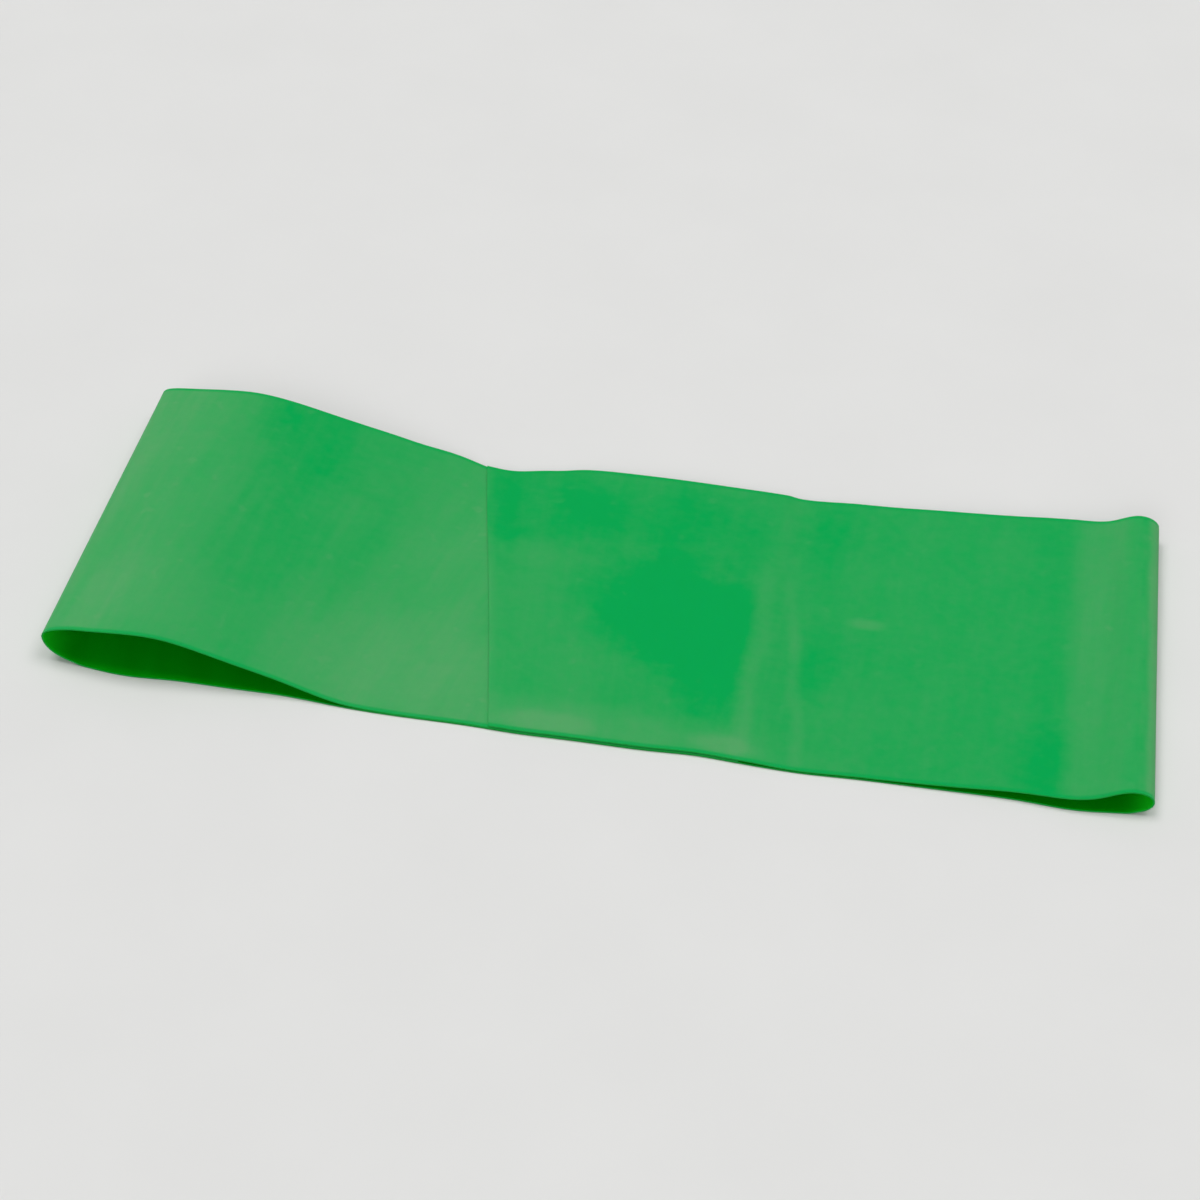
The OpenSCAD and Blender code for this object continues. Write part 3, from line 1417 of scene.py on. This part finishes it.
    def mouth_knots(self, edge: MouthEdge) -> list[Knot]:
        """From the inner end's cut over the mouth, round the held turn and back under it.

        Args:
            edge: The sizes at one edge of the band.

        Returns:
            The knots, in order.
        """
        s = self.sizes
        held = -s.half_length
        floor_x = held + self.mouth_floor_in
        foot = held + edge.foot
        flat = (s.inner_cut - foot) / 3
        under = (self.split_x - floor_x) / 3
        (shoulder_x, shoulder_z), (crest_x, crest_z) = edge.shoulder, edge.crest
        brow_x, brow_z = edge.brow
        return [
            Knot(s.inner_cut, s.upper_mid, 180, 0, flat),
            Knot(foot, s.upper_mid, 180, flat, edge.foot_reach),
            Knot(held + shoulder_x, shoulder_z, 180 - edge.ramp_slope, *edge.shoulder_reach),
            Knot(held + crest_x, crest_z, 180, *edge.crest_reach),
            Knot(held + brow_x, brow_z, 180 + edge.brow_slope, *edge.brow_reach),
            Knot(held + edge.tip_in, edge.tip_height, 270, *edge.tip_reach),
            Knot(floor_x, s.lower_mid, 0, edge.floor_reach, under),
            Knot(self.split_x, s.lower_mid, 0, under, 0),
        ]

    def far_knots(self, edge: FarEdge) -> list[Knot]:
        """From the split under the band, round the far turn and back over the lap.

        Args:
            edge: The sizes at one edge of the band.

        Returns:
            The knots, in order.
        """
        s = self.sizes
        far = s.half_length - edge.tip_in
        floor_x = far - self.far_floor_in
        under = (floor_x - self.split_x) / 3
        over = (s.far_foot - s.cut_mid) / 3
        top = edge.turn_height
        neck_z, shoulder_z = top - edge.neck_drop, top - edge.shoulder_drop
        return [
            Knot(self.split_x, s.lower_mid, 0, 0, under),
            Knot(floor_x, s.lower_mid, 0, under, edge.floor_reach),
            Knot(far - s.film / 2, top * edge.tip_share, 90, *edge.tip_reach),
            Knot(far - edge.turn_run, top, 180, *edge.turn_reach),
            Knot(far - edge.neck_run, neck_z, 180 + edge.neck_slope, *edge.neck_reach),
            Knot(
                far - edge.shoulder_run, shoulder_z, 180 + edge.shoulder_slope, *edge.shoulder_reach
            ),
            Knot(s.far_foot, s.upper_mid, 180, edge.foot_reach, over),
            Knot(s.cut_mid, s.upper_mid, 180, over, 0),
        ]

    def bowed(self, x: np.ndarray, y: np.ndarray) -> np.ndarray:
        """The places across, with the band's bow and the unevenness of its two edges.

        Args:
            x: Places along the loop.
            y: Places across the width.

        Returns:
            The moved places across.
        """
        s = self.sizes
        rear = smooth(y, -self.wave_share * s.half_width, s.half_width)
        front = smooth(y, self.wave_share * s.half_width, -s.half_width)
        rear_out = self.rear_step * smooth(x, *self.rear_step_at) - self.rear_in
        rear_out = rear_out + waves_at(x, self.rear_waves)
        bow = self.bow * (1 - (x / s.half_length) ** 2)
        return y - bow + rear * rear_out - front * waves_at(x, self.front_waves)

    def on_upper(self, z: np.ndarray) -> np.ndarray:
        """1 on the plies that lie above the lower one, and 0 on the lower ply itself."""
        return smooth(z, self.sizes.film * 1.2, self.sizes.upper_mid)

    def swell(self, x: np.ndarray, y: np.ndarray) -> np.ndarray:
        """How far the upper plies stand off the lower ply along the rear edge.

        Args:
            x: Places along the loop.
            y: Places across the width.

        Returns:
            The height at each place.
        """
        half = self.sizes.half_width
        return waves_at(x, self.rear_swells) * smooth(y, -self.swell_share * half, half)

    def loose(self, x: np.ndarray, y: np.ndarray, z: np.ndarray) -> np.ndarray:
        """How far the upper ply stands off what it lies on, in soft waves and at its edges.

        Args:
            x: Places along the loop.
            y: Places across the width.
            z: Heights of the sheet's middle surface.

        Returns:
            The height to add at each place.
        """
        s = self.sizes
        waves = self.slack.height * (1 + self.slack.at(x, y))
        edge = smooth(np.abs(y), s.half_width - self.frill_width, s.half_width)
        before, after = self.frill_fade
        lapped = smooth(x, s.inner_cut + after, s.inner_cut)
        lapped = lapped * smooth(x, s.cut_rear - before, s.cut_rear)
        frill = self.frill.height * edge * (1 - lapped) * (1 + self.frill.at(x, y))
        return self.on_upper(z) * (waves + frill)

    def mouth_shape(
        self, x: np.ndarray, y: np.ndarray, z: np.ndarray
    ) -> tuple[np.ndarray, np.ndarray, np.ndarray]:
        """Bends the lofted mouth sheet into the real one's slight unevenness.

        Args:
            x: Places along the loop.
            y: Places across the width.
            z: Heights of the sheet's middle surface.

        Returns:
            The bent places along, across and up.
        """
        s = self.sizes
        raised = smooth(z, s.flat_top, s.crest[1])
        ripple = raised * self.mouth_ripple.height * self.mouth_ripple.at(x, y)
        lap = smooth(x, s.cut_rear - self.lap_fade, s.cut_rear) * (z < s.flat_top)
        lifted = z + (1 - raised) * (1 - lap) * self.loose(x, y, z) + ripple
        lifted += self.on_upper(z) * self.swell(x, y)
        return x, self.bowed(x, y), lifted

    def lap_rise(self, x: np.ndarray, y: np.ndarray) -> np.ndarray:
        """How far the outer layer is raised by the inner end beneath it.

        Args:
            x: Places along the loop.
            y: Places across the width.

        Returns:
            The height to add at each place.
        """
        s = self.sizes
        share = (y / s.half_width + 1) / 2
        front, rear = self.step_run
        run = (s.step_end - s.inner_cut) * (front + (rear - front) * share)
        t = np.clip((x - s.inner_cut) / run, 0, 1)
        return s.lap_rise * (1 - t * t * (3 - 2 * t))

    def far_shape(
        self, x: np.ndarray, y: np.ndarray, z: np.ndarray
    ) -> tuple[np.ndarray, np.ndarray, np.ndarray]:
        """Bends the lofted far sheet: the lap's step and slant, and a slight unevenness.

        Args:
            x: Places along the loop.
            y: Places across the width.
            z: Heights of the sheet's middle surface.

        Returns:
            The bent places along, across and up.
        """
        s = self.sizes
        share = y / s.half_width
        upper = self.on_upper(z)
        rise = upper * self.lap_rise(x, y)
        slant = np.clip((s.inner_cut - x) / (s.inner_cut - s.cut_mid), 0, 1) * upper
        moved_x = x - slant * share * (s.cut_front - s.cut_rear) / 2
        raised = smooth(z, s.flat_top, s.far_turn * self.far_crown)
        ripple = raised * self.far_ripple.height * self.far_ripple.at(x, y)
        corner = self.corner_lift * upper * hump(
            moved_x, y, (s.cut_rear + self.corner_in, s.half_width), self.corner_size
        )
        droop_from = 1 - self.cut_droop / (s.inner_cut - s.cut_mid)
        droop = self.droop_share * s.bond * upper * smooth(slant, droop_from, 1)
        lifted = z + rise - droop + corner + ripple + self.loose(moved_x, y, z)
        lifted += upper * self.swell(moved_x, y)
        return moved_x, self.bowed(moved_x, y), lifted

    def build_film(self, finishes: Finishes) -> list[bpy.types.Object]:
        """Builds and dresses the two sheets of film.

        Args:
            finishes: What makes the materials.

        Returns:
            The mouth sheet and the far sheet.
        """
        s = self.sizes
        faces = finishes.latex(LatexFinish())
        edges = finishes.cut_edge(CutEdgeFinish())
        inner = finishes.inner_face(InnerFaceFinish())
        whole = finishes.strip_length
        mouth = FilmSheet(
            "film_mouth_sheet", self.mouth_line, s.film, s.half_width, 0.0, whole, self.mouth_shape
        ).build()
        far = FilmSheet(
            "film_far_sheet",
            self.far_line,
            s.film,
            s.half_width,
            self.mouth_line.length,
            whole,
            self.far_shape,
        ).build()
        for sheet in (mouth, far):
            for finish in (faces, edges, inner):
                sheet.data.materials.append(finish)
        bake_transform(mouth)
        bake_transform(far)
        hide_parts("inner_end", "mouth_roof", "held_turn", "lower_run")
        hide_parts("far_lower_run", "far_turn", "upper_run", "outer_end")
        return [mouth, far]

    def build_bond(self, finishes: Finishes) -> bpy.types.Object:
        """Builds the layer of cement between the lapped ends, thin and uneven at its edges.

        Args:
            finishes: What makes the materials.

        Returns:
            The layer.
        """
        s = self.sizes
        low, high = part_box("bond_film")
        skew = (s.cut_front - s.cut_rear) / 2
        columns, rows = self.bond_grid
        v, u = np.meshgrid(np.linspace(-1, 1, rows), np.linspace(0, 1, columns))
        half = (high.y - low.y) / 2
        y = v * half
        start = (low.x + skew) - skew * v
        x = start + (high.x - start) * u
        ragged = self.bond_ragged.height * self.bond_ragged.at(x, y)
        x = x + ragged * (np.abs(u - 0.5) * 2) ** self.ragged_power
        middle = s.film * 2 + s.bond / 2
        half_thick = s.bond / 2 * self.bond_share
        brushed = self.bond_brushing.height * (self.bond_brushing.at(x, y) - 1)
        z_top = middle + half_thick * (1 + brushed)
        z_low = np.full_like(x, middle - half_thick)
        lift = self.swell(x, y)
        z_top, z_low = z_top + lift, z_low + lift
        y = self.bowed(x, y)
        count = columns * rows
        points = np.concatenate(
            [np.stack([x, y, z], axis=2).reshape(-1, 3) for z in (z_top, z_low)]
        )
        grid = np.arange(count).reshape(columns, rows)
        a, b, c, d = grid[:-1, :-1], grid[1:, :-1], grid[1:, 1:], grid[:-1, 1:]
        top = np.stack([a, b, c, d], axis=2).reshape(-1, 4)
        faces = top.tolist() + (top[:, ::-1] + count).tolist()
        border = np.concatenate([grid[:, 0], grid[-1, 1:], grid[-2::-1, -1], grid[0, -2:0:-1]])
        ahead = np.roll(border, -1)
        faces += np.stack([border, border + count, ahead + count, ahead], axis=1).tolist()
        places = np.stack([u, (v + 1) / 2], axis=2).reshape(-1, 2)
        bond = new_piece("bond_layer", points, faces, np.tile(places, (2, 1)))
        bond.data.materials.append(finishes.cement(CementFinish()))
        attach(bond, Body.HELD.value)
        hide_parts("bond_film")
        return bond


# ---------------------------------------------------------------- the room


@dataclass(frozen=True)
class SoftLight:
    """A wide, soft and distant studio light, even over the whole floor."""

    name: str
    towards: tuple[float, float, float]
    strength: float
    spread: float = 33.0

    def build(self) -> None:
        """Makes the light and turns it to shine from its side."""
        data = bpy.data.lights.new(self.name, "SUN")
        data.energy = self.strength
        data.angle = math.radians(self.spread)
        lamp = bpy.data.objects.new(self.name, data)
        lamp.location = self.towards
        lamp.rotation_mode = "QUATERNION"
        lamp.rotation_quaternion = Vector(self.towards).to_track_quat("Z", "Y")
        bpy.context.scene.collection.objects.link(lamp)


@dataclass(frozen=True)
class Studio:
    """The floor, the lights and the camera."""

    floor_size: float = 40.0
    floor_drop: float = 0.02 * MM
    sky: float = 0.22
    horizon: float = 0.74
    horizon_band: tuple[float, float] = (0.04, 0.3)
    focal_mm: float = 81.6
    distance: float = 0.5193
    azimuth: float = 7.8
    elevation: float = 41.0
    roll: float = 2.65
    look_at: tuple[float, float, float] = (-0.00365, -0.0008, 0.0)
    lights: tuple[SoftLight, ...] = (
        SoftLight("key_light", (-0.45, 0.1, 1.4), 1.22),
        SoftLight("top_light", (0.55, 0.1, 1.4), 0.9),
        SoftLight("front_light", (-0.2, -1.3, 0.75), 0.9),
    )

    def build_floor(self, finishes: Finishes) -> None:
        """Lays the floor under the band.

        Args:
            finishes: What makes the materials.
        """
        half = self.floor_size / 2
        mesh = bpy.data.meshes.new("floor")
        mesh.from_pydata(
            [(-half, -half, 0), (half, -half, 0), (half, half, 0), (-half, half, 0)],
            [],
            [(0, 1, 2, 3)],
        )
        floor = bpy.data.objects.new("floor", mesh)
        floor.location.z = CAD_BOX[0].z - self.floor_drop
        floor.data.materials.append(finishes.floor(FloorFinish()))
        bpy.context.scene.collection.objects.link(floor)

    def build_lights(self) -> None:
        """Sets a soft sky, palest at the horizon, and the three wide lights."""
        scene = bpy.context.scene
        world = bpy.data.worlds.new("studio")
        world.use_nodes = True
        sheet = NodeSheet(world.node_tree)
        back = next(n for n in sheet.tree.nodes if n.type == "BACKGROUND")
        back.inputs["Color"].default_value = (1, 1, 1, 1)
        _, _, upward = sheet.split(sheet.add("ShaderNodeTexCoord").outputs["Generated"])
        height = sheet.fade(upward, *self.horizon_band)
        level = sheet.math("MULTIPLY_ADD", height, self.sky - self.horizon, self.horizon)
        sheet.join(level, back.inputs["Strength"])
        scene.world = world
        for light in self.lights:
            light.build()
        scene.view_settings.view_transform = "Standard"

    def build_camera(self) -> None:
        """Places the camera above and in front of the band, rolled a little."""
        a, e, r = (math.radians(d) for d in (self.azimuth, self.elevation, self.roll))
        back = Vector((math.sin(a) * math.cos(e), -math.cos(a) * math.cos(e), math.sin(e)))
        right = Vector((math.cos(a), math.sin(a), 0))
        up = back.cross(right)
        turned_right = math.cos(r) * right + math.sin(r) * up
        turned_up = math.cos(r) * up - math.sin(r) * right
        turn = Matrix((turned_right, turned_up, back)).transposed()
        data = bpy.data.cameras.new("camera")
        data.sensor_width = 36.0
        data.lens = self.focal_mm
        data.clip_start = 0.01
        camera = bpy.data.objects.new("camera", data)
        camera.matrix_world = Matrix.Translation(
            Vector(self.look_at) + back * self.distance
        ) @ turn.to_4x4()
        bpy.context.scene.collection.objects.link(camera)
        bpy.context.scene.camera = camera


def main() -> None:
    """Builds the band and the room, and logs each piece."""
    logging.basicConfig(level=logging.INFO, format="%(name)s: %(message)s")
    sizes = LoopSizes.from_frame()
    band = Band(sizes)
    finishes = Finishes(sizes, band.mouth_line, band.far_line)
    studio = Studio()
    studio.build_camera()
    studio.build_lights()
    studio.build_floor(finishes)
    for piece in [*band.build_film(finishes), band.build_bond(finishes)]:
        LOG.info("%s: %d faces", piece.name, len(piece.data.polygons))
    LOG.info("the strip is %.1f mm long", finishes.strip_length / MM)


if __name__ == "__main__":
    main()
